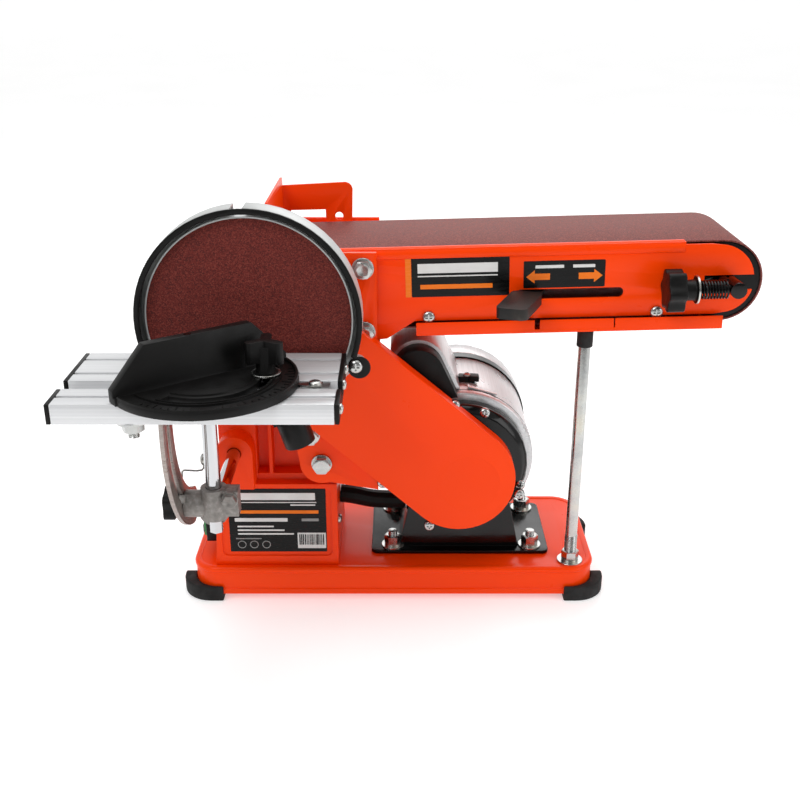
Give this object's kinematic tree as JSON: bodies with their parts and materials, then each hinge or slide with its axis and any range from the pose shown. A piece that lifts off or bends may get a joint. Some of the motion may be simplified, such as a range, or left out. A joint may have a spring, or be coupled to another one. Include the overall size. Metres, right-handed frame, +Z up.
{
  "type": "belt disc sander",
  "caption": "Bench sander with a face disc and tilting table at one end and a long sanding belt on a tilting arm, driven by an induction motor on a pressed steel base.",
  "frame": {"origin": "centre of the machine's footprint box, on the surface the feet stand on", "axes": "+X towards the belt arm's free end, +Y from the disc's face towards the motor's rear, +Z up"},
  "size_m": [0.5114, 0.3346, 0.356],
  "materials": {
    "orange_paint": "glossy baked enamel",
    "brushed_aluminium": "extruded and brushed",
    "cast_metal": "sand cast, bare",
    "chrome_bar": "polished",
    "zinc_steel": "zinc plated",
    "bare_steel": "ground",
    "black_plastic": "moulded, fine texture",
    "black_metal": "satin black enamel",
    "black_rubber": "matt",
    "disc_grit": "bonded abrasive",
    "belt_grit": "bonded abrasive cloth",
    "lamination": "laminated steel with copper windings",
    "green_button": "gloss",
    "red_button": "gloss"
  },
  "bodies": {
    "base": {"base_pan": "orange_paint", "foot_front_left": "black_rubber", "foot_front_right": "black_rubber", "foot_rear_left": "black_rubber", "foot_rear_right": "black_rubber", "column_casting": "orange_paint", "front_support_plate": "orange_paint", "rear_support_plate": "orange_paint", "front_bearing": "bare_steel", "rear_bearing": "bare_steel", "pulley_cover": "orange_paint", "cover_backplate": "orange_paint", "drive_belt": "black_rubber", "guard_shell": "brushed_aluminium", "guard_rim": "black_plastic", "dust_spout": "black_plastic", "motor_can": "brushed_aluminium", "motor_front_bell": "black_metal", "motor_rear_bell": "brushed_aluminium", "motor_stator": "lamination", "capacitor_housing": "brushed_aluminium", "capacitor_cap": "black_plastic", "motor_cradle": "black_metal", "motor_lead": "black_rubber", "switch_box": "black_plastic", "cord_gland": "black_rubber"},
    "spindle": {"main_shaft": "bare_steel", "disc_plate": "brushed_aluminium", "abrasive_disc": "disc_grit", "driven_pulley": "brushed_aluminium", "drive_drum": "bare_steel"},
    "rotor": {"motor_rotor": "bare_steel", "motor_pulley": "brushed_aluminium"},
    "prop_rod": {"support_rod": "zinc_steel", "support_rod_tip": "black_rubber"},
    "start": {"start_button": "green_button"},
    "stop": {"stop_button": "red_button"},
    "arm": {"arm_front_plate": "orange_paint", "arm_rear_plate": "orange_paint", "arm_bottom_cover": "orange_paint", "platen": "bare_steel", "sanding_belt": "belt_grit", "work_stop": "orange_paint"},
    "lever": {"tension_lever": "black_plastic"},
    "idler_carriage": {"idler_yoke": "black_metal", "idler_axle": "bare_steel", "tracking_spring": "black_metal"},
    "idler": {"idler_drum": "black_plastic"},
    "tracking": {"tracking_knob": "black_plastic"},
    "table_carrier": {"clamp_block": "cast_metal", "table_rod": "chrome_bar"},
    "table_stay": {"table_prop": "chrome_bar"},
    "table": {"table_top": "brushed_aluminium", "table_cap_left": "black_plastic", "table_cap_right": "black_plastic", "tilt_quadrant": "zinc_steel"},
    "tilt_lock": {"tilt_knob": "black_plastic"},
    "gauge_slider": {"gauge_bar": "bare_steel"},
    "gauge": {"gauge_head": "black_plastic"},
    "gauge_lock": {"gauge_knob": "black_plastic"}
  },
  "joints": [
    {"name": "spindle_spin", "type": "hinge", "parent": "base", "child": "spindle", "pos_m": [-0.13623, -0.03669, 0.274], "axis": [0, 1, 0], "continuous": true},
    {"name": "motor_spin", "type": "hinge", "parent": "base", "child": "rotor", "pos_m": [0.02477, 0.06331, 0.127], "axis": [0, 1, 0], "continuous": true},
    {"name": "support_rod_drop", "type": "slide", "parent": "base", "child": "prop_rod", "axis": [0, 0, -1], "range_m": [0, 0.015]},
    {"name": "start_press", "type": "slide", "parent": "base", "child": "start", "axis": [1, 0, 0], "range_m": [0, 0.0025], "stiffness_N_per_m": 400, "springref_m": -0.001},
    {"name": "stop_press", "type": "slide", "parent": "base", "child": "stop", "axis": [1, 0, 0], "range_m": [0, 0.0025], "stiffness_N_per_m": 400, "springref_m": -0.001},
    {"name": "arm_tilt", "type": "hinge", "parent": "base", "child": "arm", "pos_m": [-0.13623, 0.08331, 0.274], "axis": [0, -1, 0], "range_deg": [0, 88.5]},
    {"name": "lever_swing", "type": "hinge", "parent": "arm", "child": "lever", "pos_m": [0.10483, 0.10331, 0.27481], "axis": [-0.0262, 0, 0.9997], "range_deg": [0, 44]},
    {"name": "idler_tension", "type": "slide", "parent": "arm", "child": "idler_carriage", "axis": [-0.9997, 0, -0.0262], "range_m": [0, 0.008]},
    {"name": "idler_spin", "type": "hinge", "parent": "idler_carriage", "child": "idler", "pos_m": [0.22324, 0.08331, 0.28341], "axis": [0, 1, 0], "continuous": true},
    {"name": "tracking_turn", "type": "hinge", "parent": "idler_carriage", "child": "tracking", "pos_m": [0.18366, 0.00981, 0.28238], "axis": [0.9997, 0, 0.0262], "range_deg": [-180, 180]},
    {"name": "table_slide", "type": "slide", "parent": "base", "child": "table_carrier", "axis": [0, -1, 0], "range_m": [0, 0.03]},
    {"name": "table_tilt", "type": "hinge", "parent": "table_carrier", "child": "table", "pos_m": [-0.16123, -0.02469, 0.218], "axis": [1, 0, 0], "range_deg": [0, 45]},
    {"name": "stay_drop", "type": "slide", "parent": "table_carrier", "child": "table_stay", "axis": [0, 0, -1], "range_m": [0, 0.062]},
    {"name": "tilt_lock_turn", "type": "hinge", "parent": "table_carrier", "child": "tilt_lock", "pos_m": [-0.19623, -0.08254, 0.14906], "axis": [1, 0, 0], "range_deg": [-180, 0]},
    {"name": "gauge_slide", "type": "slide", "parent": "table", "child": "gauge_slider", "axis": [1, 0, 0], "range_m": [-0.05, 0.05]},
    {"name": "gauge_turn", "type": "hinge", "parent": "gauge_slider", "child": "gauge", "pos_m": [-0.15803, -0.10439, 0.253], "axis": [0, 0, 1], "range_deg": [-3, 117]},
    {"name": "gauge_lock_turn", "type": "hinge", "parent": "gauge_slider", "child": "gauge_lock", "pos_m": [-0.11766, -0.09727, 0.26], "axis": [0, 0, 1], "range_deg": [0, 180]}
  ],
  "couplings": [
    {"joint": "motor_spin", "follows": "spindle_spin", "ratio": 0.82353},
    {"joint": "idler_spin", "follows": "spindle_spin", "ratio": 1},
    {"joint": "idler_tension", "follows": "lever_swing", "m_per_rad": 0.0104},
    {"joint": "stay_drop", "follows": "table_tilt", "m_per_rad": 0.078}
  ]
}
